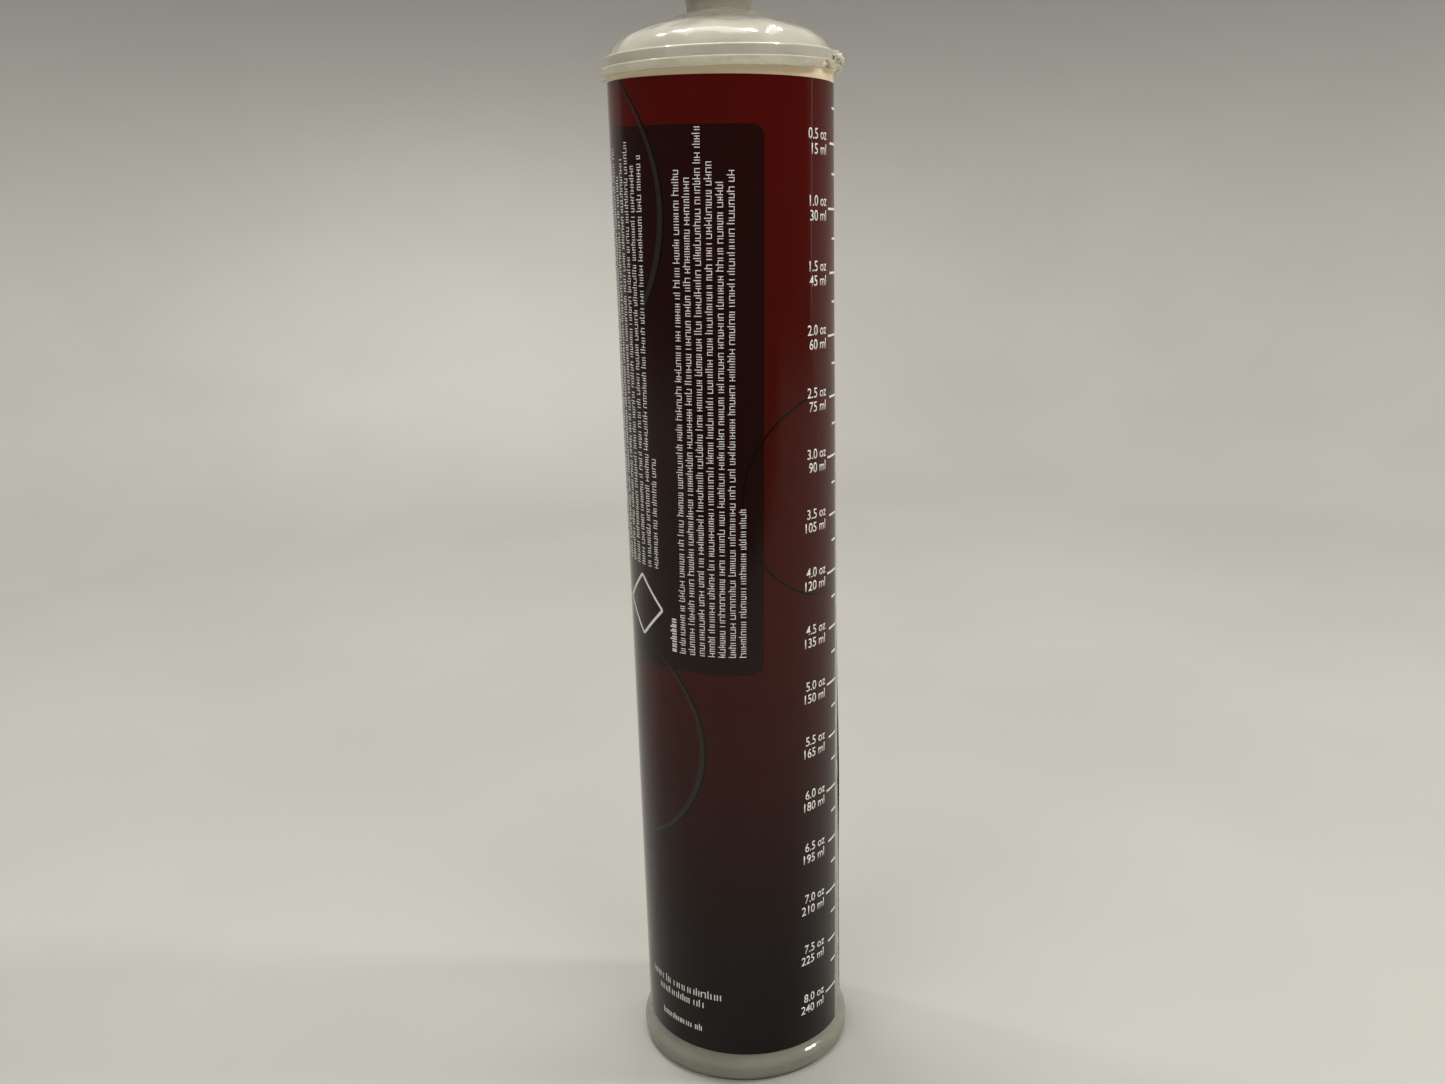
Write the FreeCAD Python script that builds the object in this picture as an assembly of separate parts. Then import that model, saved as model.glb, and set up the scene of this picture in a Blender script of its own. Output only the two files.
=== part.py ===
"""Graduated 8 oz fluid cartridge for a caulking-gun type injector.

A translucent tube with a flared base rim is closed at the top by a domed head that is
spin-welded on.  The head's threaded neck takes the injector hose, or the screw cap when
the cartridge is stored.  A piston with two ring seals slides in the bore from the open
base, pushed by the gun's plunger, and a printed film label with a volume scale is wrapped
round the tube.

Millimetres.  The origin is the centre of the base on the surface it stands on, +Z is up
along the tube, and the tube's bare strip between the label's two ends is towards +X.
"""
import FreeCAD, Part
import math
import os

# Tube
barrel_length = 204.5
barrel_radius = 21.25
barrel_wall = 1.2
rim_step = 1.45
rim_edge_radius = 1.8
rim_straight_height = 3.0
rim_flare_height = 2.8
mouth_chamfer = 0.5

# Joint between tube and head
flange_width = 0.9
flange_thickness = 1.3
flange_slope = 0.3
bead_height = 1.8
bead_proud = 0.45
bead_edge = 0.35

# Head
head_wall = 1.5
band_height = 1.95
band_edge = 0.2
shoulder_width = 0.95
dome_shoulder_radius = 6.5
dome_crown_radius = 44.3
dome_height = 9.2
spigot_length = 1.2
spigot_wall = 1.3
spigot_clearance = 0.05

# Neck
neck_root_radius = 6.0
neck_wall = 1.6
neck_length = 8.5
neck_lip_chamfer = 0.4
neck_bead_proud = 1.4
neck_bead_height = 0.7
neck_flare_radius = 6.6
neck_flare_height = 3.3
waist_step = 0.05
collar_width = 2.45
collar_rise = 0.6
collar_slope_height = 0.8

# Thread of neck and cap
thread_pitch = 2.0
thread_depth = 0.8
thread_base_width = 1.1
thread_crest_width = 0.5
thread_turns = 2.5
thread_lead_in = 0.9
thread_radial_clearance = 0.3

# Screw cap
cap_wall = 2.3
cap_roof = 1.8
cap_thread_turns = 2.0
cap_skirt_clearance = 0.3
cap_edge = 0.5
grip_count = 24
grip_radius = 0.55
grip_band = 3.0
liner_thickness = 1.0
liner_side_clearance = 0.2
liner_face_clearance = 0.05

# Piston and its seals
piston_recess = 2.4
piston_length = 12.0
piston_clearance = 0.2
piston_wall = 1.87
piston_web = 1.8
nose_curvature = 48.0
nose_step = 0.4
nose_clearance = 0.6
seal_section = 2.6
seal_bore_clearance = 0.03
seal_groove_clearance = 0.05
seal_side_clearance = 0.15
rib_count = 6
rib_thickness = 1.2
socket_depth = 8.0
socket_step = 0.5
boss_radius = 4.0

# Label
label_foot = 6.0
label_bare_band = 1.2
label_film = 0.12
label_skew = 1.3
strip_direction = 82.4
strip_width = 6.9

# Heights and radii that follow from the sizes above
bore_radius = barrel_radius - barrel_wall
rim_radius = barrel_radius + rim_step
rim_top = rim_straight_height + rim_flare_height
flange_radius = barrel_radius + flange_width
flange_foot = barrel_length - flange_thickness
bead_foot = barrel_length - bead_height
label_top = bead_foot - label_bare_band
band_top = barrel_length + band_height
dome_radius = flange_radius - shoulder_width
crown_top = barrel_length + dome_height
crown_centre = crown_top - dome_crown_radius
shoulder_centre_radius = dome_radius - dome_shoulder_radius
shoulder_centre = crown_centre + math.sqrt(
    (dome_crown_radius - dome_shoulder_radius) ** 2 - shoulder_centre_radius ** 2)
spigot_foot = barrel_length - spigot_length
spigot_radius = bore_radius - spigot_clearance
spigot_inner_radius = spigot_radius - spigot_wall
neck_bore_radius = neck_root_radius - neck_wall
neck_bead_radius = neck_root_radius + neck_bead_proud
waist_radius = neck_root_radius - waist_step
collar_radius = waist_radius + collar_width
collar_foot = crown_centre + math.sqrt(dome_crown_radius ** 2 - collar_radius ** 2)
collar_edge = collar_foot + collar_rise
waist_height = collar_edge + collar_slope_height
neck_bead_foot = waist_height + neck_flare_height
neck_shoulder = neck_bead_foot + 2 * neck_bead_height
neck_top = neck_shoulder + neck_length
thread_start = neck_shoulder + thread_lead_in
cap_root_radius = neck_root_radius + thread_depth + thread_radial_clearance
cap_radius = cap_root_radius + cap_wall
cap_foot = neck_shoulder + cap_skirt_clearance
liner_top = neck_top + liner_thickness
cap_ceiling = liner_top + liner_face_clearance
cap_top = cap_ceiling + cap_roof
piston_front = piston_recess + piston_length
piston_radius = bore_radius - piston_clearance
seal_centre_radius = bore_radius - seal_bore_clearance - seal_section / 2
groove_floor_radius = seal_centre_radius - seal_section / 2 - seal_groove_clearance
groove_width = seal_section + 2 * seal_side_clearance
land_width = (piston_length - 2 * groove_width) / 3
socket_radius = groove_floor_radius - piston_wall
web_radius = socket_radius - socket_step
nose_radius = spigot_inner_radius - nose_clearance
nose_centre = piston_front + nose_step - math.sqrt(nose_curvature ** 2 - nose_radius ** 2)

# How far a fused piece is sunk into the piece that carries it
overlap = 0.3


def turned(*path):
    """Solid turned about Z from a closed half outline of (r, z) corners and curved legs.

    A curved leg is written as (middle point, end point)."""
    edges = []
    here = FreeCAD.Vector(path[0][0], 0, path[0][1])
    for leg in path[1:] + (path[0],):
        curved = isinstance(leg[0], tuple)
        end = leg[1] if curved else leg
        there = FreeCAD.Vector(end[0], 0, end[1])
        if curved:
            middle = FreeCAD.Vector(leg[0][0], 0, leg[0][1])
            edges.append(Part.Arc(here, middle, there).toShape())
        else:
            edges.append(Part.LineSegment(here, there).toShape())
        here = there
    solid = Part.Face(Part.Wire(edges)).revolve(FreeCAD.Vector(), FreeCAD.Vector(0, 0, 1), 360)
    if solid.Volume < 0:
        solid.reverse()
    return solid


def on_circle(centre_r, centre_z, radius, degrees):
    """Point (r, z) at an angle on a circle of the half outline, 0 degrees pointing outwards."""
    angle = math.radians(degrees)
    return (centre_r + radius * math.cos(angle), centre_z + radius * math.sin(angle))


def curve(centre_r, centre_z, radius, start, end):
    """Curved leg of a half outline, from a start angle to an end angle about a centre."""
    return (on_circle(centre_r, centre_z, radius, (start + end) / 2),
            on_circle(centre_r, centre_z, radius, end))


def thread(root_radius, outwards, start, turns):
    """Trapezoidal helical ridge on a wall of root_radius, its roots sunk into the wall."""
    crest = root_radius + outwards * thread_depth
    sunk = root_radius - outwards * overlap
    tip = thread_crest_width / 2
    flank = (thread_base_width - thread_crest_width) / 2 / thread_depth
    base = tip + flank * (thread_depth + overlap)
    corners = [(sunk, start - base), (crest, start - tip),
               (crest, start + tip), (sunk, start + base)]
    points = [FreeCAD.Vector(r, 0, z) for r, z in corners]
    section = Part.makePolygon(points + points[:1])
    spine = Part.makeHelix(thread_pitch, turns * thread_pitch, root_radius)
    spine.translate(FreeCAD.Vector(0, 0, start))
    return Part.Wire(spine.Edges).makePipeShell([section], True, True)


def dome_legs(inset, foot):
    """Outside or inset surface of the dome, from its foot height up to the collar or the bore."""
    inner = inset > 0
    shoulder = dome_shoulder_radius - inset
    crown = dome_crown_radius - inset
    end_radius = neck_bore_radius if inner else collar_radius
    lean = math.degrees(math.atan2(shoulder_centre - crown_centre, shoulder_centre_radius))
    start = math.degrees(math.asin((foot - shoulder_centre) / shoulder))
    end = math.degrees(math.acos(end_radius / crown))
    first = on_circle(shoulder_centre_radius, shoulder_centre, shoulder, start)
    return [first,
            curve(shoulder_centre_radius, shoulder_centre, shoulder, start, lean),
            curve(0, crown_centre, crown, lean, end)]


def make_barrel():
    """Tube with a flared foot rim, a chamfered mouth and a weld flange at the top."""
    sweep = (rim_step ** 2 + rim_flare_height ** 2) / (4 * rim_step)
    turn = math.degrees(math.asin(rim_flare_height / (2 * sweep)))
    edge_centre = rim_radius - rim_edge_radius
    return turned(
        (bore_radius + mouth_chamfer, 0),
        (edge_centre, 0),
        curve(edge_centre, rim_edge_radius, rim_edge_radius, -90, 0),
        (rim_radius, rim_straight_height),
        curve(rim_radius - sweep, rim_straight_height, sweep, 0, turn),
        curve(barrel_radius + sweep, rim_top, sweep, 180 + turn, 180),
        (barrel_radius, flange_foot),
        (flange_radius, flange_foot + flange_slope),
        (flange_radius, barrel_length),
        (bore_radius, barrel_length),
        (bore_radius, mouth_chamfer))


def make_weld_bead():
    """Ring of melted plastic squeezed out round the flange by the spin weld."""
    bead_radius = flange_radius + bead_proud
    return turned(
        (barrel_radius, bead_foot),
        (bead_radius - bead_edge, bead_foot),
        curve(bead_radius - bead_edge, bead_foot + bead_edge, bead_edge, -90, 0),
        (bead_radius, barrel_length - bead_edge),
        (flange_radius, barrel_length),
        (flange_radius, flange_foot + flange_slope),
        (barrel_radius, flange_foot))


def make_head():
    """Domed head with its locating spigot, gripping band, collar and threaded neck."""
    outside = dome_legs(0, band_top)
    inside = dome_legs(head_wall, barrel_length)
    flare_turn = math.degrees(math.asin(neck_flare_height / neck_flare_radius))
    flare_centre = waist_radius + neck_flare_radius
    flare_end = on_circle(flare_centre, waist_height, neck_flare_radius, 180 - flare_turn)
    shell = turned(
        (0, spigot_foot),
        (spigot_radius, spigot_foot),
        (spigot_radius, barrel_length),
        (flange_radius, barrel_length),
        (flange_radius, band_top - band_edge),
        (flange_radius - band_edge, band_top),
        *outside,
        (collar_radius, collar_edge),
        (waist_radius, waist_height),
        curve(flare_centre, waist_height, neck_flare_radius, 180, 180 - flare_turn),
        (neck_bead_radius, flare_end[1] + neck_bead_height / 2),
        (neck_bead_radius, neck_shoulder - neck_bead_height / 2),
        (neck_root_radius, neck_shoulder),
        (neck_root_radius, neck_top - neck_lip_chamfer),
        (neck_root_radius - neck_lip_chamfer, neck_top),
        (0, neck_top))
    hollow = turned(
        (0, spigot_foot - 1),
        (spigot_inner_radius, spigot_foot - 1),
        (spigot_inner_radius, inside[0][1]),
        *inside,
        (neck_bore_radius, neck_top + 1),
        (0, neck_top + 1))
    ridge = thread(neck_root_radius, 1, thread_start, thread_turns)
    return shell.fuse(ridge).cut(hollow)


def make_screw_cap():
    """Cap with a ribbed skirt, an internal thread and room for the liner."""
    body = turned(
        (cap_root_radius, cap_foot),
        (cap_radius - cap_edge, cap_foot),
        (cap_radius, cap_foot + cap_edge),
        (cap_radius, cap_top - cap_edge),
        curve(cap_radius - cap_edge, cap_top - cap_edge, cap_edge, 0, 90),
        (0, cap_top),
        (0, cap_ceiling),
        (cap_root_radius, cap_ceiling))
    ridge = thread(cap_root_radius, -1, thread_start + thread_pitch / 2, cap_thread_turns)
    body = body.fuse(ridge)
    groove = Part.makeCylinder(grip_radius, cap_top - cap_foot - grip_band,
                               FreeCAD.Vector(cap_radius, 0, cap_foot + grip_band / 2))
    for number in range(grip_count):
        cutter = groove.copy()
        cutter.rotate(FreeCAD.Vector(), FreeCAD.Vector(0, 0, 1), number * 360 / grip_count)
        body = body.cut(cutter)
    return body


def make_cap_liner():
    """Soft disc that the cap presses on the neck's mouth."""
    radius = cap_root_radius - liner_side_clearance
    return turned((0, neck_top), (radius, neck_top), (radius, liner_top), (0, liner_top))


def make_piston():
    """Cup-shaped piston with two seal grooves, a domed nose and a ribbed rear socket."""
    rear = piston_recess
    first_groove = rear + land_width
    second_groove = first_groove + groove_width + land_width
    web_curve = nose_curvature - piston_web
    nose_tip = nose_centre + nose_curvature
    nose_lean = math.degrees(math.acos(nose_radius / nose_curvature))
    web_lean = math.degrees(math.acos(web_radius / web_curve))
    rib_foot = rear + socket_depth
    cup = turned(
        (socket_radius, rear),
        (piston_radius, rear),
        (piston_radius, first_groove),
        (groove_floor_radius, first_groove),
        (groove_floor_radius, first_groove + groove_width),
        (piston_radius, first_groove + groove_width),
        (piston_radius, second_groove),
        (groove_floor_radius, second_groove),
        (groove_floor_radius, second_groove + groove_width),
        (piston_radius, second_groove + groove_width),
        (piston_radius, piston_front),
        (nose_radius, piston_front + nose_step),
        curve(0, nose_centre, nose_curvature, nose_lean, 90),
        (0, nose_tip - piston_web),
        curve(0, nose_centre, web_curve, 90, web_lean),
        (web_radius, rib_foot),
        (socket_radius, rib_foot))
    core_curve = nose_curvature - piston_web / 2
    core_radius = web_radius + overlap
    core_lean = math.degrees(math.acos(core_radius / core_curve))
    core = turned(
        (0, rib_foot),
        (core_radius, rib_foot),
        on_circle(0, nose_centre, core_curve, core_lean),
        curve(0, nose_centre, core_curve, core_lean, 90))
    stiffener = Part.makeCylinder(boss_radius, nose_tip - rib_foot, FreeCAD.Vector(0, 0, rib_foot))
    for number in range(rib_count):
        rib = Part.makeBox(core_radius, rib_thickness, nose_tip - rib_foot,
                           FreeCAD.Vector(0, -rib_thickness / 2, rib_foot))
        rib.rotate(FreeCAD.Vector(), FreeCAD.Vector(0, 0, 1), number * 360 / rib_count)
        stiffener = stiffener.fuse(rib)
    return cup.fuse(stiffener.common(core))


def make_piston_seal(number):
    """Ring seal in the piston groove of that number, counted from the rear."""
    height = (piston_recess + land_width + groove_width / 2
              + number * (groove_width + land_width))
    return Part.makeTorus(seal_centre_radius, seal_section / 2, FreeCAD.Vector(0, 0, height))


def make_label():
    """Wrapped film with a bare strip between its ends, leaning because the film sits askew."""
    film = Part.makeCylinder(barrel_radius + label_film, label_top - label_foot,
                             FreeCAD.Vector(0, 0, label_foot))
    inner = Part.makeCylinder(barrel_radius, label_top, FreeCAD.Vector(0, 0, 0))
    below = label_foot - 1
    above = label_top + 1
    lean = math.tan(math.radians(label_skew)) * (above - below) / 2
    half = strip_width / 2
    corners = [(-half - lean, below), (half - lean, below),
               (half + lean, above), (-half + lean, above)]
    points = [FreeCAD.Vector(side, 0, z) for side, z in corners]
    strip = Part.Face(Part.makePolygon(points + points[:1]))
    strip = strip.extrude(FreeCAD.Vector(0, -2 * barrel_radius, 0))
    strip.rotate(FreeCAD.Vector(), FreeCAD.Vector(0, 0, 1), strip_direction)
    return film.cut(inner).cut(strip)


def main():
    """Make every piece and write one STEP file for each."""
    pieces = {
        "barrel": make_barrel(),
        "head": make_head(),
        "weld_bead": make_weld_bead(),
        "label": make_label(),
        "piston": make_piston(),
        "piston_rear_seal": make_piston_seal(0),
        "piston_front_seal": make_piston_seal(1),
        "screw_cap": make_screw_cap(),
        "cap_liner": make_cap_liner(),
    }
    os.makedirs("parts", exist_ok=True)
    for name, shape in pieces.items():
        print(name, "valid", shape.isValid(), "solids", len(shape.Solids),
              "volume", round(shape.Volume, 1), "z", round(shape.BoundBox.ZMin, 2),
              round(shape.BoundBox.ZMax, 2))
        shape.exportStep("parts/" + name + ".step")


main()
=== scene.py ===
"""Looks of a graduated fluid cartridge: moulded plastics, torn weld flash and a printed wrap label.

Metres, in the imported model's own frame: the base stands at the origin and +Z runs up the tube.
"""

import math
import random

import bpy
from bpy.props import FloatProperty, FloatVectorProperty, IntProperty, PointerProperty
from mathutils import Matrix, Vector, noise


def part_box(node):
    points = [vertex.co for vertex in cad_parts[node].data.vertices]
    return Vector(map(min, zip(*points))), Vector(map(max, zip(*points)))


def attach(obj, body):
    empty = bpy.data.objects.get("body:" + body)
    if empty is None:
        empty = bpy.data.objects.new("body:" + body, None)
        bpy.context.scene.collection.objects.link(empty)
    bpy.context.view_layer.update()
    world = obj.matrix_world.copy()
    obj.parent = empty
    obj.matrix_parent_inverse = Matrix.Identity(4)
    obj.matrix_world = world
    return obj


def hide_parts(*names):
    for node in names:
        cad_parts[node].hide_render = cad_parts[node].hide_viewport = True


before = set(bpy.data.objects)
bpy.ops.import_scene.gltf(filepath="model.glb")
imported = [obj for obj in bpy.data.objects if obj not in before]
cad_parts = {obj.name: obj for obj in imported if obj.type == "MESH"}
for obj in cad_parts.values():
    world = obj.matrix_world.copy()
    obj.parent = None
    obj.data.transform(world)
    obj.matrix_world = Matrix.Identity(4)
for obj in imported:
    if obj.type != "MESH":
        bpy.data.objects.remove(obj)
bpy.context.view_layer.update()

bl_info = {
    "name": "Fluid cartridge looks",
    "version": (1, 0, 0),
    "blender": (4, 5, 0),
    "location": "3D View > Sidebar > Cartridge",
    "description": "Builds the visible surfaces of a graduated injector cartridge",
    "category": "Object",
}

MM = 0.001
TUBE_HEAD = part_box("barrel")[1]
LABEL_FOOT, LABEL_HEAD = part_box("label")
BEAD_FOOT, BEAD_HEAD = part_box("weld_bead")
HEAD_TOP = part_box("head")[1]
LABEL_RADIUS = LABEL_HEAD.x
LABEL_MIDDLE = (LABEL_FOOT.z + LABEL_HEAD.z) / 2
LABEL_HEIGHT = LABEL_HEAD.z - LABEL_FOOT.z
FILM_SEAT = 0.12 * MM
TUBE_WALL = 1.2 * MM
FLANGE_FOOT = 1.3 * MM
FLANGE_EDGE = 1.0 * MM
FLANGE_WIDTH = 0.9 * MM
OUNCES = 8

# Thin printed rings on the label sheet: across, up and radius in millimetres
RINGS = ((-44.0, 74.0, 30.8), (-29.5, -29.5, 23.5), (21.5, 21.5, 20.0))

# Weld flash, in degrees round the tube from the front
NOTCH_AT, NOTCH_HALF_WIDTH = 57.5, 5.5
TORN_AT, TORN_SPREAD = 78.0, 9.0
SHRED_AT, SHRED_HALF_WIDTH = 76.0, 8.0


def colour(name, description, default):
    """A colour setting, in linear light."""
    return FloatVectorProperty(name=name, description=description, default=default,
                               subtype="COLOR", size=3, min=0.0, max=1.0)


def length(name, description, millimetres):
    """A size setting, given here in millimetres."""
    return FloatProperty(name=name, description=description, default=millimetres * MM,
                         unit="LENGTH")


class CartridgeSizes(bpy.types.PropertyGroup):
    """Sizes of the pieces that the frame doesn't give."""

    label_end: length("Label end", "Right end of the label, round the tube from the front", 27.3)
    label_gap: length("Label gap", "Bare strip between the label's two ends", 6.9)
    label_film: length("Label film", "Thickness of the label film", 0.10)
    label_skew: FloatProperty(name="Label skew", description="How far the label was stuck on askew",
                              default=math.radians(1.3), subtype="ANGLE")
    print_lift: length("Print lift", "How far the ink stands on the film", 0.008)
    ink_thickness: length("Ink thickness", "Thickness of the printed ink", 0.012)
    ounce_step: length("Ounce step", "Height of one fluid ounce on the scale", 23.4176)
    zero_line: length("Zero line", "Zero of the scale above the label's middle", 98.6)
    row_step: length("Row step", "Distance between the small printed rows", 2.03)
    eye_distance: length("Eye distance", "Camera's distance from the tube's axis", 253.06)
    eye_height: length("Eye height", "Camera's height above the floor", 178.89)


class CartridgeColours(bpy.types.PropertyGroup):
    """Colours of the plastics, the print and the stage."""

    label_top: colour("Label top", "Red at the label's upper edge", (0.068, 0.0015, 0.0002))
    label_middle: colour("Label middle", "Red brown at the label's middle", (0.041, 0.0026, 0.0002))
    label_foot: colour("Label foot", "Near black at the label's lower edge",
                       (0.0028, 0.0024, 0.0020))
    panel: colour("Panel", "Dark text panel", (0.0055, 0.0016, 0.0010))
    ink: colour("Ink", "White printing ink", (0.90, 0.88, 0.82))
    tube: colour("Tube", "Natural translucent polypropylene", (0.225, 0.225, 0.182))
    band: colour("Bare band", "Beige of the tube's bare upper end", (0.72, 0.60, 0.40))
    head: colour("Head", "Milky polypropylene of the head", (0.48, 0.46, 0.387))
    bead: colour("Bead", "Remelted plastic of the weld", (0.50, 0.475, 0.385))
    piston: colour("Piston", "White polyethylene of the piston", (0.72, 0.71, 0.66))
    seal: colour("Seal", "Black nitrile rubber", (0.012, 0.012, 0.013))
    cap: colour("Cap", "Black satin polypropylene", (0.016, 0.016, 0.018))
    liner: colour("Liner", "White foam of the cap liner", (0.75, 0.75, 0.72))
    stage: colour("Stage", "Pale paper sweep", (0.378, 0.371, 0.342))


def sizes():
    """The size settings of this scene."""
    return bpy.context.scene.cartridge_sizes


def colours():
    """The colour settings of this scene."""
    return bpy.context.scene.cartridge_colours


# Shader maths


class Term:
    """A shader value on which plain arithmetic adds Math nodes."""

    def __init__(self, finish, socket):
        self.finish = finish
        self.socket = socket

    def math(self, operation, *others):
        values = [self] + list(others)
        node = self.finish.node("ShaderNodeMath", {"operation": operation},
                                dict(enumerate(values)))
        return Term(self.finish, node.outputs[0])

    def __add__(self, other):
        return self.math("ADD", other)

    def __sub__(self, other):
        return self.math("SUBTRACT", other)

    def __rsub__(self, other):
        return (self * -1.0) + other

    def __mul__(self, other):
        return self.math("MULTIPLY", other)

    def __gt__(self, other):
        return self.math("GREATER_THAN", other)

    def __lt__(self, other):
        return self.math("LESS_THAN", other)

    def __abs__(self):
        return self.math("ABSOLUTE")

    __radd__ = __add__
    __rmul__ = __mul__

    def between(self, low, high, new_low=0.0, new_high=1.0):
        """Smooth step from new_low at low to new_high at high."""
        node = self.finish.node("ShaderNodeMapRange", {"interpolation_type": "SMOOTHSTEP"},
                                {"Value": self, "From Min": low, "From Max": high,
                                 "To Min": new_low, "To Max": new_high})
        return Term(self.finish, node.outputs[0])


class Finish:
    """One material under construction."""

    def __init__(self, name):
        self.material = bpy.data.materials.new(name)
        self.material.use_nodes = True
        self.tree = self.material.node_tree
        self.tree.nodes.clear()

    def node(self, kind, settings=None, sockets=None):
        """A node of a type, with its settings made first and then its sockets' values or links."""
        node = self.tree.nodes.new(kind)
        for name, value in (settings or {}).items():
            setattr(node, name, value)
        for name, value in (sockets or {}).items():
            if isinstance(value, Term):
                value = value.socket
            if isinstance(value, bpy.types.NodeSocket):
                self.tree.links.new(value, node.inputs[name])
            else:
                node.inputs[name].default_value = value
        return node

    def place(self):
        """Object coordinates as a vector socket."""
        return self.node("ShaderNodeTexCoord").outputs["Object"]

    def axes(self, vector):
        """The three parts of a vector."""
        parts = self.node("ShaderNodeSeparateXYZ", None, {0: vector}).outputs
        return [Term(self, part) for part in parts]

    def noise(self, vector, scale, detail=3.0, roughness=0.5):
        """Soft noise about 0.5, its scale given in cells to the metre."""
        node = self.node("ShaderNodeTexNoise", None,
                         {"Vector": vector, "Scale": scale, "Detail": detail,
                          "Roughness": roughness})
        return Term(self, node.outputs[0])

    def stretched(self, vector, factors):
        """A vector with each part multiplied by its own factor."""
        node = self.node("ShaderNodeVectorMath", {"operation": "MULTIPLY"},
                         {0: vector, 1: factors})
        return node.outputs[0]

    def mix(self, factor, first, second):
        """Colour between first at factor 0 and second at factor 1."""
        def full(value):
            return tuple(value) + (1.0,) if len(value) == 3 else value
        first = first if isinstance(first, bpy.types.NodeSocket) else full(first)
        second = second if isinstance(second, bpy.types.NodeSocket) else full(second)
        node = self.node("ShaderNodeMix", {"data_type": "RGBA"},
                         {0: factor, 6: first, 7: second})
        return node.outputs[2]

    def bump(self, height, distance, strength=1.0):
        """Normal bent by a height of 0 to 1 times a distance in metres."""
        node = self.node("ShaderNodeBump", None, {"Height": height, "Distance": distance,
                                                  "Strength": strength})
        return node.outputs[0]

    def surface(self, **sockets):
        """Principled surface as the material's output; underscores stand for spaces."""
        named = {name.replace("_", " "): value for name, value in sockets.items()}
        shader = self.node("ShaderNodeBsdfPrincipled", None, named)
        self.node("ShaderNodeOutputMaterial", None, {0: shader.outputs[0]})
        return self.material


# Modelling helpers


def deselect_all():
    """Leave object mode with nothing selected."""
    if bpy.context.object and bpy.context.object.mode != "OBJECT":
        bpy.ops.object.mode_set(mode="OBJECT")
    bpy.ops.object.select_all(action="DESELECT")


def arc(centre_r, centre_z, radius, start, end, steps):
    """Points (r, z) along an arc of a half outline, angles in degrees from outwards."""
    points = []
    for number in range(steps + 1):
        angle = math.radians(start + (end - start) * number / steps)
        points.append((centre_r + radius * math.cos(angle), centre_z + radius * math.sin(angle)))
    return points


def spun(name, outline, steps=160, closed=True):
    """Object turned about Z from a half outline of (r, z) points."""
    deselect_all()
    first = outline[0]
    bpy.ops.mesh.primitive_plane_add(size=MM, location=(first[0], 0.0, first[1]))
    piece = bpy.context.object
    piece.name = name
    bpy.ops.object.transform_apply(location=True, rotation=False, scale=False)
    bpy.ops.object.mode_set(mode="EDIT")
    bpy.ops.mesh.select_all(action="SELECT")
    bpy.ops.mesh.merge(type="CENTER")
    here = first
    path = outline[1:] + (outline[:1] if closed else [])
    for there in path:
        bpy.ops.mesh.extrude_region_move(TRANSFORM_OT_translate={
            "value": (there[0] - here[0], 0.0, there[1] - here[1])})
        here = there
    bpy.ops.mesh.select_all(action="SELECT")
    bpy.ops.mesh.spin(steps=steps, angle=2 * math.pi, center=(0.0, 0.0, 0.0),
                      axis=(0.0, 0.0, 1.0))
    bpy.ops.mesh.select_all(action="SELECT")
    bpy.ops.mesh.remove_doubles(threshold=0.002 * MM)
    bpy.ops.mesh.normals_make_consistent(inside=False)
    bpy.ops.object.mode_set(mode="OBJECT")
    return piece


def smooth(piece, degrees=35.0):
    """Smooth shading with edges kept where the surface turns sharply."""
    deselect_all()
    piece.select_set(True)
    bpy.context.view_layer.objects.active = piece
    bpy.ops.object.shade_smooth_by_angle(angle=math.radians(degrees))


def apply_modifier(piece, kind, **settings):
    """Add a modifier to a piece and apply it at once."""
    deselect_all()
    piece.select_set(True)
    bpy.context.view_layer.objects.active = piece
    modifier = piece.modifiers.new(kind.title(), kind)
    for name, value in settings.items():
        setattr(modifier, name, value)
    bpy.ops.object.modifier_apply(modifier=modifier.name)


def dress(piece, material):
    """Give a piece one material on all its faces."""
    piece.data.materials.clear()
    piece.data.materials.append(material)


def finished(piece, body, slot, *replaced):
    """Set a new piece on its body, in place of CAD nodes; the slot is not used."""
    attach(piece, body)
    if replaced:
        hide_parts(*replaced)


def join(pieces, name):
    """Join objects into one."""
    deselect_all()
    for piece in pieces:
        piece.select_set(True)
    bpy.context.view_layer.objects.active = pieces[0]
    bpy.ops.object.join()
    pieces[0].name = name
    return pieces[0]


def on_label(across, up, lift=0.0):
    """Point on the tube for a place on the flat label.

    across runs round the tube from the front centre line and up from the label's middle, both
    on the printed sheet, which was stuck on a little askew."""
    skew = sizes().label_skew
    round_tube = across * math.cos(skew) + up * math.sin(skew)
    height = LABEL_MIDDLE + up * math.cos(skew) - across * math.sin(skew)
    angle = round_tube / LABEL_RADIUS
    radius = LABEL_RADIUS + lift
    return Vector((radius * math.sin(angle), -radius * math.cos(angle), height))


def wrap(piece, lift):
    """Bend a flat piece, drawn in the XY plane as on the printed sheet, round the tube."""
    for vertex in piece.data.vertices:
        flat = vertex.co
        vertex.co = on_label(flat.x, flat.y, lift + flat.z)
    piece.data.update()


# Finishes


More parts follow.
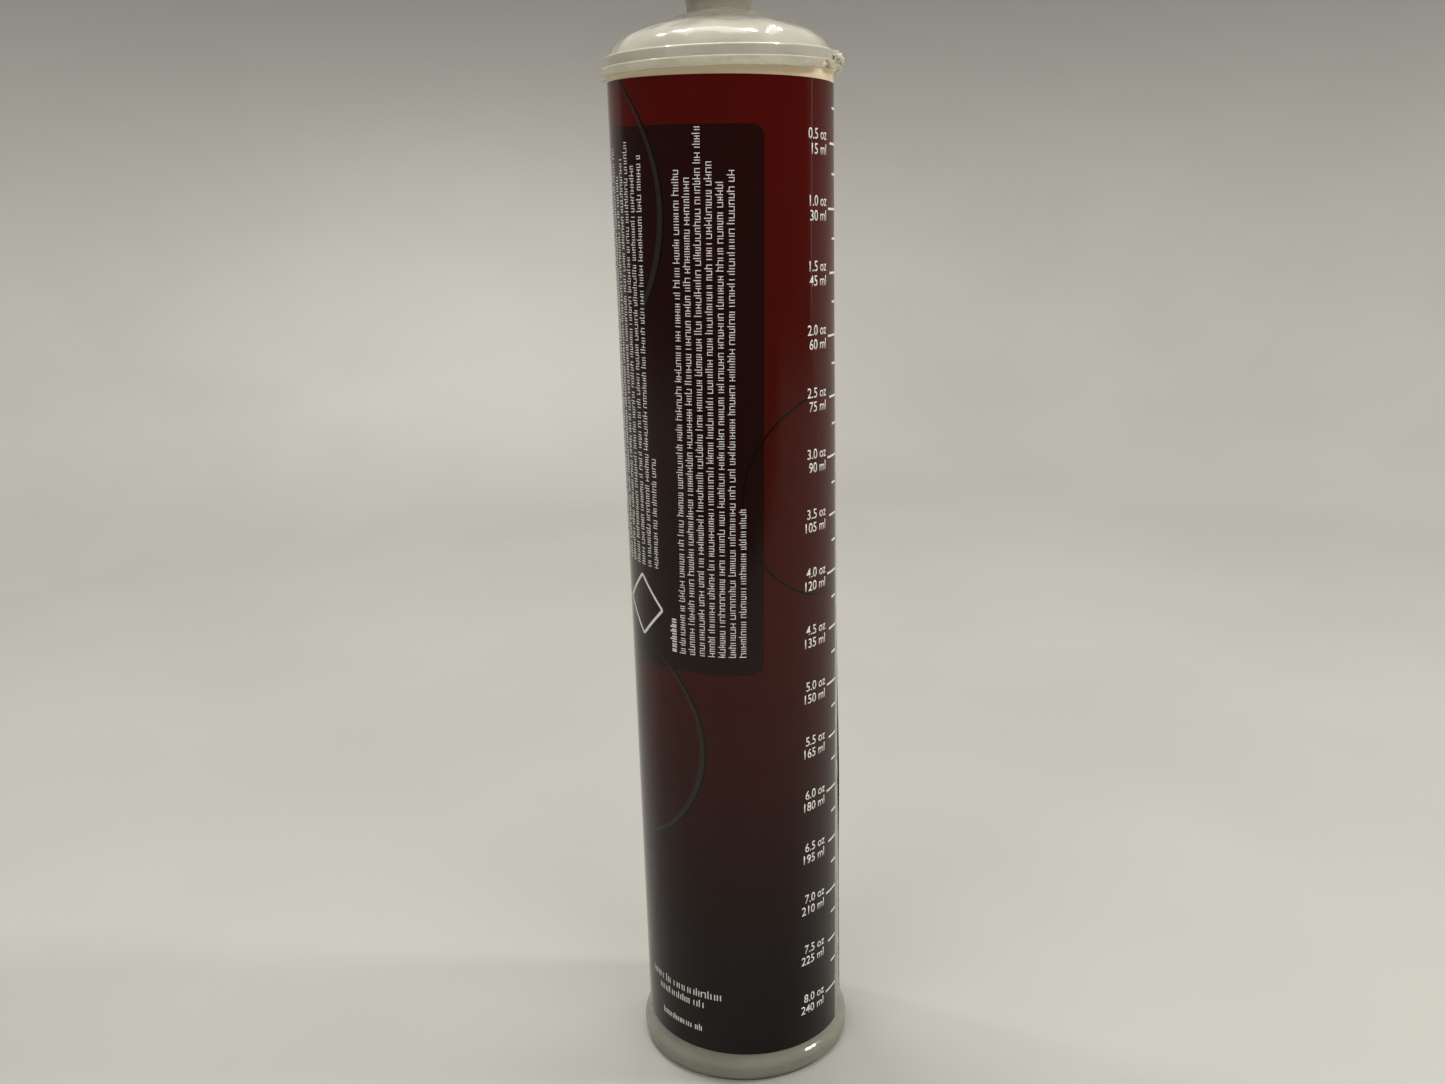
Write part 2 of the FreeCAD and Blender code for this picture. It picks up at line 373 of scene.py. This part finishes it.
def moulded_plastic(name, tint, gloss, relief, other=None, low=0.0, high=1.0):
    """Cloudy, glossy polypropylene with soft flow marks.

    With another tint the colour changes to it between two heights, and there a faint painted glow
    in that tint, an emission, stands in for light passing through the translucent wall."""
    finish = Finish(name)
    place = finish.place()
    z = finish.axes(place)[2]
    cloud = finish.noise(place, 70.0, 3.0)
    flow = finish.noise(finish.stretched(place, (1.0, 1.0, 1.6)), 240.0, 2.0, 0.4)
    scuff = finish.noise(place, 900.0, 4.0, 0.6)
    base = finish.mix(cloud.between(0.3, 0.7), tuple(part * 0.92 for part in tint),
                      tuple(min(part * 1.06, 1.0) for part in tint))
    painted_glow = (0.0, 0.0, 0.0, 1.0)
    if other:
        rise = z.between(low, high)
        base = finish.mix(rise, base, other)
        # painted glow: emission at 0.17 of the other tint, standing in for light passing through
        # the wall
        painted_glow = finish.mix(rise, (0.0, 0.0, 0.0), tuple(part * 0.17 for part in other))
    return finish.surface(
        Base_Color=base, Roughness=scuff.between(0.45, 0.75, gloss, gloss + 0.12), IOR=1.45,
        Subsurface_Weight=0.7, Subsurface_Scale=0.0015, Subsurface_Radius=(1.0, 0.95, 0.8),
        Emission_Color=painted_glow, Emission_Strength=1.0,
        Normal=finish.bump(flow, relief, 0.6))


def head_plastic():
    """Milky dome with a painted shade ring round the neck's foot, running into a clearer, greyer
    neck.
    """
    finish = Finish("head_plastic")
    tint = tuple(colours().head)
    place = finish.place()
    x, y, z = finish.axes(place)
    cloud = finish.noise(place, 90.0, 3.0)
    swell = finish.noise(place, 150.0, 1.0, 0.3)
    pits = finish.noise(place, 1100.0, 4.0, 0.6)
    skin = finish.bump(swell + 0.012 * pits, 0.0022, 0.6)
    base = finish.mix(cloud.between(0.3, 0.7), tuple(part * 0.93 for part in tint),
                      tuple(min(part * 1.06, 1.0) for part in tint))
    from_axis = (x * x + y * y).math("SQRT")
    # painted shade: the dome darkened to 0.45 of its tint in a ring round the neck's foot, where
    # the neck darkens it
    painted_neck_shade = from_axis.between(11.5 * MM, 17.5 * MM, 0.75, 0.0) * (from_axis > 8.7 * MM)
    base = finish.mix(painted_neck_shade, base, tuple(part * 0.45 for part in tint))
    rough = pits.between(0.4, 0.75, 0.06, 0.12)
    milky = finish.node("ShaderNodeBsdfPrincipled", None, {
        "Base Color": base, "Roughness": rough, "IOR": 1.49, "Normal": skin,
        "Subsurface Weight": 0.6, "Subsurface Scale": 0.0010,
        "Subsurface Radius": (1.0, 0.95, 0.8)})
    grey = tuple(min(part * 2.1, 1.0) for part in tint)
    clear = finish.node("ShaderNodeBsdfPrincipled", None, {
        "Base Color": grey + (1.0,), "Roughness": rough, "IOR": 1.42, "Normal": skin,
        "Transmission Weight": 0.9})
    height = z.between(HEAD_TOP.z - 15.5 * MM, HEAD_TOP.z - 13.5 * MM, 0.0, 0.62)
    mixed = finish.node("ShaderNodeMixShader", None, {0: height, 1: milky.outputs[0],
                                                      2: clear.outputs[0]})
    finish.node("ShaderNodeOutputMaterial", None, {0: mixed.outputs[0]})
    return finish.material


def label_print():
    """Printed film: red fading to near black, a dark rounded panel, thin plain rings and a painted
    highlight line along a crease.
    """
    tones = colours()
    finish = Finish("label_film")
    place = finish.place()
    x, y, z = finish.axes(place)
    skew = sizes().label_skew
    round_tube = x.math("ARCTAN2", 0.0 - y) * LABEL_RADIUS
    up_tube = z - LABEL_MIDDLE
    raw_across = round_tube * math.cos(skew) - up_tube * math.sin(skew)
    up = round_tube * math.sin(skew) + up_tube * math.cos(skew)
    turn = 2 * math.pi * LABEL_RADIUS
    past_gap = raw_across > sizes().label_end + sizes().label_gap / 2
    across = raw_across - past_gap * turn * math.cos(skew)
    up = up - past_gap * turn * math.sin(skew)

    half = LABEL_HEIGHT / 2
    fade = up.between(-half * 0.95, half * 0.10)
    rise = up.between(-half * 0.05, half)
    base = finish.mix(fade, tones.label_foot, tones.label_middle)
    base = finish.mix(rise, base, tones.label_top)

    panel_right, panel_left = 5.7 * MM, -46.0 * MM
    panel_top, panel_foot = 89.6 * MM, -12.6 * MM
    corner = 2.4 * MM
    box_x = abs(across - (panel_right + panel_left) / 2) - ((panel_right - panel_left) / 2 - corner)
    box_y = abs(up - (panel_top + panel_foot) / 2) - ((panel_top - panel_foot) / 2 - corner)
    out_x = box_x.math("MAXIMUM", 0.0)
    out_y = box_y.math("MAXIMUM", 0.0)
    outside = (out_x * out_x + out_y * out_y).math("SQRT") - corner
    panel = outside.between(-0.06 * MM, 0.06 * MM, 1.0, 0.0)
    base = finish.mix(panel * 0.86, base, tones.panel)

    for ring_x, ring_y, ring_radius in RINGS:
        gap_x = across - ring_x * MM
        gap_y = up - ring_y * MM
        distance = abs((gap_x * gap_x + gap_y * gap_y).math("SQRT") - ring_radius * MM)
        inner_x = across - (ring_x - 1.3) * MM
        inner_y = up - (ring_y + 0.4) * MM
        inside = (inner_x * inner_x + inner_y * inner_y).math("SQRT") > ring_radius * MM
        within = (gap_x * gap_x + gap_y * gap_y).math("SQRT").between(
            (ring_radius - 0.2) * MM, ring_radius * MM, 1.0, 0.0)
        base = finish.mix(inside * within * 0.8, base, (0.026, 0.022, 0.016))
        line = distance.between(0.12 * MM, 0.34 * MM, 0.9, 0.0)
        base = finish.mix(line, base, tuple(part * 0.5 for part in tones.label_foot))

    ripple = finish.noise(finish.stretched(place, (1.0, 1.0, 0.35)), 160.0, 2.0)
    speck = finish.noise(place, 2400.0, 4.0, 0.6)
    # painted highlight: a thin lighter line up the label's upper part, also bumped as a crease
    crease_highlight_line = abs(across - 16.3 * MM).between(0.0, 0.30 * MM, 1.0, 0.0)
    crease_and_highlight = crease_highlight_line * up.between(48.0 * MM, 66.0 * MM)
    return finish.surface(
        Base_Color=finish.mix(crease_and_highlight * 0.09, base, (0.5, 0.42, 0.38)),
        Roughness=speck.between(0.35, 0.75, 0.09, 0.18), IOR=1.33,
        Normal=finish.bump(0.6 * ripple + 0.1 * speck + 0.3 * crease_and_highlight, 0.00010, 0.35))


def stage_paper():
    """Pale paper with painted shade that darkens it up the wall, and painted shade that keeps the
    side behind the camera dark.
    """
    finish = Finish("stage_paper")
    place = finish.place()
    x, y, z = finish.axes(place)
    tint = tuple(colours().stage)
    grain = finish.noise(place, 9.0, 2.0)
    base = finish.mix(grain.between(0.3, 0.7), tuple(part * 0.95 for part in tint), tint)
    # painted shade: the paper darkens to 0.52 of its tint going up the wall
    base = finish.mix(z.between(0.02, 0.42), base, tuple(part * 0.52 for part in tint))
    # painted shade: the wall everywhere but behind the tube, and the floor far in front, turn
    # nearly black as a dark room would leave them
    off_floor = z.between(0.02, 0.10)
    ahead = (y + x * 0.227).between(0.23, 0.32, 1.0, 0.0)
    far_front = y.between(-0.46, -0.34, 1.0, 0.0)
    dark = (off_floor * ahead).math("MAXIMUM", far_front)
    base = finish.mix(dark, base, (0.085, 0.084, 0.080))
    return finish.surface(Base_Color=base, Roughness=0.6)


def ink(name, strength):
    """White screen ink, slightly uneven, its coverage from 0 to 1."""
    finish = Finish(name)
    patch = finish.noise(finish.place(), 3000.0, 3.0)
    tint = tuple(part * strength for part in colours().ink)
    base = finish.mix(patch.between(0.3, 0.7), tuple(part * 0.86 for part in tint), tint)
    return finish.surface(Base_Color=base, Roughness=0.42)


# Pieces


def tube_outline():
    """Half outline of the tube's wall, from the mouth's chamfer round the outside and back."""
    outer = LABEL_RADIUS - FILM_SEAT
    bore = outer - TUBE_WALL
    rim = TUBE_HEAD.x
    edge = 1.8 * MM
    straight = 3.0 * MM
    flare = 2.8 * MM
    step = rim - outer
    sweep = (step ** 2 + flare ** 2) / (4 * step)
    turn = math.degrees(math.asin(flare / (2 * sweep)))
    flange = outer + FLANGE_WIDTH
    top = TUBE_HEAD.z
    wall_foot, wall_top, steps = straight + flare, top - FLANGE_FOOT, 24
    wall_heights = [wall_foot + (wall_top - wall_foot) * n / steps for n in range(1, steps)]
    return ([(bore + 0.5 * MM, 0.0)]
            + arc(rim - edge, edge, edge, -90, 0, 10)
            + arc(rim - sweep, straight, sweep, 0, turn, 6)
            + arc(outer + sweep, wall_foot, sweep, 180 + turn, 180, 6)
            + [(outer, height) for height in wall_heights]
            + [(outer, wall_top), (flange, top - FLANGE_EDGE), (flange, top),
               (bore, top), (bore, 0.5 * MM)])


class MakeTube(bpy.types.Operator):
    """Translucent tube with its flared, rounded base rim"""

    bl_idname = "cartridge.make_tube"
    bl_label = "Tube"

    def execute(self, context):
        tube = spun("tube", tube_outline())
        smooth(tube)
        dress(tube, moulded_plastic("tube_plastic", tuple(colours().tube), 0.07, 0.0006,
                                    tuple(colours().band), 0.12, 0.19))
        finished(tube, "cartridge", "translucent_tube", "barrel")
        return {"FINISHED"}


class MakeHead(bpy.types.Operator):
    """Milky finish of the domed head and neck"""

    bl_idname = "cartridge.make_head"
    bl_label = "Head"

    def execute(self, context):
        dress(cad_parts["head"], head_plastic())
        return {"FINISHED"}


def torn_shred(radius, height):
    """Ragged shred of weld flash curled up against the flange."""
    deselect_all()
    bpy.ops.mesh.primitive_ico_sphere_add(subdivisions=6, radius=1.0)
    shred = bpy.context.object
    shred.name = "torn_flash"
    for vertex in shred.data.vertices:
        ball = vertex.co.copy()
        rag = noise.noise(ball * 1.9) * 0.24 + noise.noise(ball * 6.0) * 0.34
        ball *= 1.0 + rag
        angle = math.radians(SHRED_AT + SHRED_HALF_WIDTH * ball.x)
        out = radius + (-0.55 - 1.15 * ball.y) * MM
        up = height + (1.30 * ball.z + 0.20 * noise.noise(Vector((ball.x * 4.0, 3.0, 0.0)))) * MM
        vertex.co = Vector((out * math.sin(angle), -out * math.cos(angle), up))
    shred.data.update()
    smooth(shred, 40.0)
    return shred


class MakeWeldBead(bpy.types.Operator):
    """Ring of weld flash with a torn, curled lower edge"""

    bl_idname = "cartridge.make_weld_bead"
    bl_label = "Weld bead"

    def execute(self, context):
        inner = LABEL_RADIUS - FILM_SEAT
        outer = BEAD_HEAD.x
        foot, top = BEAD_FOOT.z, BEAD_HEAD.z
        outline = ([(inner + 0.15 * MM, foot + 0.25 * MM), (outer - 0.35 * MM, foot)]
                   + arc(outer - 0.22 * MM, foot + 0.22 * MM, 0.22 * MM, -90, 0, 4)
                   + [(outer, foot + 0.8 * MM), (outer - 0.05 * MM, top - 0.4 * MM)]
                   + arc(outer - 0.3 * MM, top - 0.25 * MM, 0.25 * MM, 0, 90, 4)
                   + [(inner + FLANGE_WIDTH, top), (inner + FLANGE_WIDTH, top - FLANGE_EDGE),
                      (inner, top - FLANGE_FOOT)])
        bead = spun("weld_flash", outline, 480)
        for vertex in bead.data.vertices:
            place = vertex.co
            angle = math.atan2(place.x, -place.y)
            low = max(0.0, min(1.0, (top - place.z) / (top - foot)))
            radius = math.hypot(place.x, place.y)
            proud = max(0.0, min(1.0, (radius - inner) / (outer - inner)))
            along = Vector((math.cos(angle), math.sin(angle), 0.0))
            wave = noise.noise(along * 4.0) * 0.30 + noise.noise(along * 17.0) * 0.16
            fray = noise.noise(along * 60.0 + Vector((0.0, 0.0, place.z * 900.0)))
            torn = math.exp(-((math.degrees(angle) - TORN_AT) / TORN_SPREAD) ** 2)
            notch = max(0.0, 1.0 - abs(math.degrees(angle) - NOTCH_AT) / NOTCH_HALF_WIDTH)
            drop = (wave + fray * (0.08 + 0.3 * torn)) * low * MM
            rise = (notch * 1.9 + torn * 0.8) * low * MM
            swell = (wave * 0.25 + torn * (0.2 + 0.4 * fray)) * proud * MM
            factor = (radius + swell) / radius
            vertex.co = Vector((place.x * factor, place.y * factor, place.z - drop * 0.6 + rise))
        smooth(bead, 50.0)
        plastic = moulded_plastic("bead_plastic", tuple(colours().bead), 0.10, 0.0012)
        dress(bead, plastic)
        finished(bead, "cartridge", "weld_plastic", "weld_bead")
        shred = torn_shred(outer, (foot + top) / 2 + 1.2 * MM)
        dress(shred, plastic)
        finished(shred, "cartridge", "weld_plastic")
        return {"FINISHED"}


class MakeLabel(bpy.types.Operator):
    """Printed film wrapped round the tube, its far end lifting a little"""

    bl_idname = "cartridge.make_label"
    bl_label = "Label"

    def execute(self, context):
        settings = sizes()
        end = settings.label_end
        width = 2 * math.pi * LABEL_RADIUS - settings.label_gap
        deselect_all()
        bpy.ops.mesh.primitive_grid_add(x_subdivisions=240, y_subdivisions=80, size=1.0)
        film = bpy.context.object
        film.name = "label_film"
        film.scale = (width, LABEL_HEIGHT, 1.0)
        film.location = (end - width / 2, 0.0, 0.0)
        bpy.ops.object.transform_apply(location=True, rotation=False, scale=True)
        for vertex in film.data.vertices:
            from_end = vertex.co.x - (end - width)
            lift = math.exp(-(from_end / (1.6 * MM)) ** 2) * 0.25 * MM
            spread = math.exp(-((vertex.co.y + 45.0 * MM) / (16.0 * MM)) ** 2)
            vertex.co.z = lift * spread - 0.003 * MM
        wrap(film, 0.0)
        apply_modifier(film, "SOLIDIFY", thickness=settings.label_film, offset=-1.0)
        smooth(film, 40.0)
        dress(film, label_print())
        finished(film, "cartridge", "label_film", "label")
        return {"FINISHED"}


def flat_bar(cuts):
    """Flat printed bar one metre square, cut across its length so that it can bend."""
    deselect_all()
    bpy.ops.mesh.primitive_plane_add(size=1.0)
    bar = bpy.context.object
    bpy.ops.object.mode_set(mode="EDIT")
    bpy.ops.mesh.select_all(action="DESELECT")
    bpy.ops.mesh.select_mode(type="EDGE")
    bpy.ops.object.mode_set(mode="OBJECT")
    for edge in bar.data.edges:
        first, second = (bar.data.vertices[index].co for index in edge.vertices)
        edge.select = abs(first.y - second.y) < 0.5
    bpy.ops.object.mode_set(mode="EDIT")
    bpy.ops.mesh.subdivide(number_cuts=cuts)
    bpy.ops.mesh.select_mode(type="VERT")
    bpy.ops.object.mode_set(mode="OBJECT")
    return bar


def copied_bars(name, places, cuts):
    """Copies of one flat bar, each set between (left, right, foot, top), joined into one."""
    first = flat_bar(cuts)
    copies = []
    for left, right, foot, top in places:
        mesh = first.data.copy()
        middle = Vector(((left + right) / 2, (foot + top) / 2, 0.0))
        mesh.transform(Matrix.Translation(middle) @ Matrix.Diagonal(
            (right - left, top - foot, 1.0, 1.0)))
        copy = bpy.data.objects.new(name, mesh)
        bpy.context.collection.objects.link(copy)
        copies.append(copy)
    bpy.data.objects.remove(first)
    return join(copies, name)


def flat_text(words, height, right, middle):
    """Flat printed number, its right end and its middle height given on the label sheet."""
    deselect_all()
    bpy.ops.object.text_add()
    text = bpy.context.object
    text.data.body = words
    text.data.size = height
    text.data.offset = height * 0.006
    text.scale = (0.93, 1.0, 1.0)
    text.data.align_x = "RIGHT"
    text.data.align_y = "CENTER"
    text.data.resolution_u = 4
    text.location = (right, middle, 0.0)
    bpy.ops.object.convert(target="MESH")
    bpy.ops.object.transform_apply(location=True, rotation=False, scale=True)
    return bpy.context.object


def print_on_label(pieces, name, material):
    """Join flat printed shapes, wrap them on the film and give them the ink's thickness."""
    print_piece = join(pieces, name)
    wrap(print_piece, sizes().print_lift)
    apply_modifier(print_piece, "SOLIDIFY", thickness=sizes().ink_thickness, offset=1.0)
    dress(print_piece, material)
    finished(print_piece, "cartridge", "label_film")
    return print_piece


class PrintScale(bpy.types.Operator):
    """Volume scale: a tick every quarter ounce and figures every half ounce"""

    bl_idname = "cartridge.print_scale"
    bl_label = "Scale"

    def execute(self, context):
        settings = sizes()
        edge = settings.label_end - 0.15 * MM
        thick = 0.21 * MM
        right, figure_height, line_offset = 21.6 * MM, 2.75 * MM, 1.32 * MM
        ticks = []
        figures = []
        for quarter in range(1, OUNCES * 4 + 1):
            middle = settings.zero_line - settings.ounce_step * quarter / 4
            if quarter % 4 == 0:
                reach = 4.7 * MM
            elif quarter % 2 == 0:
                reach = 3.8 * MM
            else:
                reach = 2.4 * MM
                middle += 0.45 * MM
            ticks.append((edge - reach, edge, middle - thick, middle + thick))
            if quarter % 2 == 0:
                ounces = quarter / 4
                millilitres = round(ounces * 30)
                for words, offset in (("%.1f oz" % ounces, line_offset),
                                      ("%d ml" % millilitres, -line_offset)):
                    figures.append(flat_text(words, figure_height, right, middle + offset))
        white = ink("scale_ink", 1.0)
        print_on_label([copied_bars("scale_ticks", ticks, 5)], "scale_ticks", white)
        print_on_label(figures, "scale_figures", white)
        return {"FINISHED"}


def stroke_row(start, end, height, weight, generator, crossed=0.75):
    """Meaningless strokes in word-like groups: bars as (from, to, low, high) along a row.

    crossed is the share of strokes that get cross bars."""
    bars = []
    here = start
    while here < end - height:
        for _ in range(generator.randint(2, 10)):
            if here > end - height * 0.6:
                break
            wide = height * generator.choice((0.16, 0.46, 0.52, 0.58, 0.66))
            tall = height * generator.choice((0.74, 0.74, 0.74, 1.0))
            bars.append((here, here + weight, 0.0, tall))
            if wide > height * 0.2:
                bars.append((here + wide - weight, here + wide, 0.0, height * 0.74))
                if generator.random() < crossed:
                    low = max(0.0, height * generator.choice((0.0, 0.40, 0.74)) - weight * 0.8)
                    bars.append((here, here + wide, low, low + weight * 0.8))
            here += wide + height * 0.2
        here += height * 0.38
    return bars


def upward(bars, across):
    """Row of bars that runs up the label, its letters' feet at a place round the tube."""
    return [(across - high, across - low, start, end) for start, end, low, high in bars]


def level(bars, up):
    """Row of bars that runs round the tube, its letters' feet at a height."""
    return [(start, end, up + low, up + high) for start, end, low, high in bars]


def plain_frame():
    """Empty frame with rounded corners, standing on one corner."""
    deselect_all()
    bpy.ops.mesh.primitive_plane_add(size=9.4 * MM)
    square = bpy.context.object
    bpy.ops.object.mode_set(mode="EDIT")
    bpy.ops.mesh.select_all(action="SELECT")
    bpy.ops.mesh.bevel(offset=0.7 * MM, segments=5, affect="VERTICES")
    bpy.ops.mesh.select_all(action="SELECT")
    bpy.ops.mesh.inset(thickness=0.55 * MM)
    bpy.ops.mesh.delete(type="FACE")
    bpy.ops.mesh.select_all(action="SELECT")
    bpy.ops.mesh.subdivide(number_cuts=3)
    bpy.ops.object.mode_set(mode="OBJECT")
    square.rotation_euler = (0.0, 0.0, math.radians(45.0))
    square.location = (-21.7 * MM, -1.0 * MM, 0.0)
    bpy.ops.object.transform_apply(location=True, rotation=True, scale=False)
    return square


class PrintRows(bpy.types.Operator):
    """Small print as rows of plain strokes, with a heading bar and an empty frame"""

    bl_idname = "cartridge.print_rows"
    bl_label = "Small print"

    def execute(self, context):
        generator = random.Random(11)
        step = sizes().row_step
        right_tops = (22.0, 82.0, 81.0, 83.5, 90.0, 82.0, 82.0)
        left_tops = (30.0, 85.5, 83.0, 88.0, 85.0, 82.0, 86.5, 84.0, 79.0, 85.5, 86.0, 60.0)
        bars = []
        for first, foot, tops in ((2.2, -8.9, right_tops), (-16.3, 7.4, left_tops)):
            for number, top in enumerate(tops):
                row = stroke_row(foot * MM, top * MM, 1.38 * MM, 0.165 * MM, generator)
                bars += upward(row, first * MM - step * number)
        heading = stroke_row(-8.9 * MM, 0.0, 1.45 * MM, 0.30 * MM, generator, 0.25)
        bars += upward(heading, -12.0 * MM)
        for up, start, end, height in ((-85.3, -22.5, -2.2, 1.8), (-87.8, -19.6, -6.0, 1.7),
                                       (-93.5, -18.6, -7.2, 1.5)):
            row = stroke_row(start * MM, end * MM, height * MM, 0.24 * MM, generator, 0.25)
            bars += level(row, up * MM)
        white = ink("small_print_ink", 0.84)
        rows = copied_bars("small_print", bars, 1)
        print_on_label([rows, plain_frame()], "small_print", white)
        return {"FINISHED"}


def dressed_node(node, finish_name, tint, rough, grain, relief, **extra):
    """Procedural finish of a CAD node that keeps its shape."""
    finish = Finish(finish_name)
    place = finish.place()
    fine = finish.noise(place, grain, 4.0, 0.6)
    broad = finish.noise(place, 90.0, 2.0)
    base = finish.mix(broad.between(0.3, 0.7), tuple(part * 0.85 for part in tint),
                      tuple(min(part * 1.1, 1.0) for part in tint))
    dress(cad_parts[node], finish.surface(
        Base_Color=base, Roughness=fine.between(0.3, 0.7, rough - 0.07, rough + 0.09),
        Normal=finish.bump(fine, relief, 0.6), **extra))


class FinishInside(bpy.types.Operator):
    """Finishes of the piston and its seals"""

    bl_idname = "cartridge.finish_inside"
    bl_label = "Piston and seals"

    def execute(self, context):
        tones = colours()
        dressed_node("piston", "piston_plastic", tuple(tones.piston), 0.42, 1800.0, 0.00003)
        for node in ("piston_front_seal", "piston_rear_seal"):
            dressed_node(node, node + "_rubber", tuple(tones.seal), 0.50, 2500.0, 0.00002)
        return {"FINISHED"}


class FinishCap(bpy.types.Operator):
    """Finishes of the screw cap and its liner"""

    bl_idname = "cartridge.finish_cap"
    bl_label = "Cap and liner"

    def execute(self, context):
        tones = colours()
        dressed_node("screw_cap", "cap_plastic", tuple(tones.cap), 0.38, 3200.0, 0.00003)
        dressed_node("cap_liner", "liner_foam", tuple(tones.liner), 0.65, 2600.0, 0.00006)
        return {"FINISHED"}


def area_light(name, place, aim, size, power, tint, mirrored=True):
    """Soft rectangular light at a place, turned to a point, seen in gloss or not."""
    deselect_all()
    bpy.ops.object.light_add(type="AREA", location=place)
    lamp = bpy.context.object
    lamp.name = name
    lamp.data.shape = "RECTANGLE"
    lamp.data.size, lamp.data.size_y = size
    lamp.data.energy = power
    lamp.data.color = tint
    lamp.visible_glossy = mirrored
    lamp.rotation_euler = (Vector(aim) - Vector(place)).to_track_quat("-Z", "Y").to_euler()
    return lamp


class MakeStage(bpy.types.Operator):
    """Pale paper sweep, soft lights and the camera"""

    bl_idname = "cartridge.make_stage"
    bl_label = "Stage"

    def execute(self, context):
        floor_radius, bend, wall = 0.50, 0.40, 1.30
        outline = ([(0.0, 0.0), (0.25, 0.0)]
                   + arc(floor_radius, bend, bend, -90, 0, 24)
                   + [(floor_radius + bend, wall)])
        sweep = spun("stage_sweep", outline, 96, closed=False)
        smooth(sweep, 60.0)
        dress(sweep, stage_paper())

        warm = (1.0, 0.985, 0.945)
        area_light("softbox_top", (-0.05, 0.20, 1.20), (0.0, 0.05, 0.0), (0.9, 0.6), 5.5, warm)
        area_light("fill_left", (-0.38, -0.58, 0.78), (0.0, 0.0, 0.1), (0.6, 0.4), 4.2, warm,
                   False)
        area_light("fill_right", (0.42, -0.56, 0.80), (0.0, 0.0, 0.1), (0.6, 0.4), 3.4, warm,
                   False)
        area_light("ceiling_strip_left", (-0.28, 0.42, 1.15), (0.0, 0.0, 0.2), (0.30, 0.035),
                   4.0, warm)
        area_light("ceiling_strip_right", (0.34, 0.36, 1.10), (0.0, 0.0, 0.2), (0.26, 0.035),
                   1.7, warm)
        area_light("ceiling_spot_left", (-0.48, 0.28, 1.00), (0.0, 0.0, 0.2), (0.07, 0.03), 1.8,
                   warm)
        area_light("ceiling_spot_back", (0.10, 0.58, 1.10), (0.0, 0.0, 0.2), (0.16, 0.03), 1.0,
                   warm)
        area_light("window_right", (0.60, -0.02, 0.56), (0.0, 0.0, 0.1), (0.07, 0.10), 2.0, warm)
        deselect_all()
        bpy.ops.object.light_add(type="SPOT", location=(-0.50, 0.05, 0.85))
        pool = context.object
        pool.name = "pool_left"
        pool.data.energy = 16.0
        pool.data.color = warm
        pool.data.spot_size = math.radians(30.0)
        pool.data.spot_blend = 1.0
        pool.data.shadow_soft_size = 0.10
        aim = Vector((-0.14, 0.76, 0.06)) - pool.location
        pool.rotation_euler = aim.to_track_quat("-Z", "Y").to_euler()

        scene = context.scene
        scene.view_settings.view_transform = "Standard"
        world = bpy.data.worlds.new("room")
        world.use_nodes = True
        world.node_tree.nodes["Background"].inputs[0].default_value = (1.0, 0.98, 0.94, 1.0)
        world.node_tree.nodes["Background"].inputs[1].default_value = 0.085
        scene.world = world

        pitch, yaw, roll = math.radians(14.702), math.radians(-0.487), math.radians(-1.662)
        forward = Vector((math.sin(yaw) * math.cos(pitch), math.cos(yaw) * math.cos(pitch),
                          -math.sin(pitch)))
        level = Vector((math.cos(yaw), -math.sin(yaw), 0.0))
        upward = level.cross(forward)
        right = level * math.cos(roll) + upward * math.sin(roll)
        up = upward * math.cos(roll) - level * math.sin(roll)
        bpy.ops.object.camera_add()
        camera = context.object
        camera.name = "eye"
        camera.data.sensor_width = 36.0
        camera.data.lens = 31.587
        camera.data.clip_start = 0.01
        turn = Matrix((right, up, -forward)).transposed().to_4x4()
        camera.matrix_world = Matrix.Translation(
            (0.0, -sizes().eye_distance, sizes().eye_height)) @ turn
        scene.camera = camera
        return {"FINISHED"}


class CartridgePanel(bpy.types.Panel):
    """Buttons for each piece of the cartridge"""

    bl_idname = "VIEW3D_PT_cartridge"
    bl_label = "Cartridge"
    bl_space_type = "VIEW_3D"
    bl_region_type = "UI"
    bl_category = "Cartridge"

    def draw(self, context):
        for operator in OPERATORS:
            self.layout.operator(operator.bl_idname)
        for group in (context.scene.cartridge_sizes, context.scene.cartridge_colours):
            for name in group.__annotations__:
                self.layout.prop(group, name)


OPERATORS = (MakeStage, MakeTube, MakeHead, MakeWeldBead, MakeLabel, PrintScale, PrintRows,
             FinishInside, FinishCap)
CLASSES = (CartridgeSizes, CartridgeColours) + OPERATORS + (CartridgePanel,)


def register():
    """Register the settings, the operators and the panel."""
    for kind in CLASSES:
        bpy.utils.register_class(kind)
    bpy.types.Scene.cartridge_sizes = PointerProperty(type=CartridgeSizes)
    bpy.types.Scene.cartridge_colours = PointerProperty(type=CartridgeColours)


def unregister():
    """Take back what register did."""
    del bpy.types.Scene.cartridge_colours
    del bpy.types.Scene.cartridge_sizes
    for kind in reversed(CLASSES):
        bpy.utils.unregister_class(kind)


def main():
    """Build every piece in order."""
    register()
    bpy.ops.cartridge.make_stage()
    bpy.ops.cartridge.make_tube()
    bpy.ops.cartridge.make_head()
    bpy.ops.cartridge.make_weld_bead()
    bpy.ops.cartridge.make_label()
    bpy.ops.cartridge.print_scale()
    bpy.ops.cartridge.print_rows()
    bpy.ops.cartridge.finish_inside()
    bpy.ops.cartridge.finish_cap()


if __name__ == "__main__":
    main()
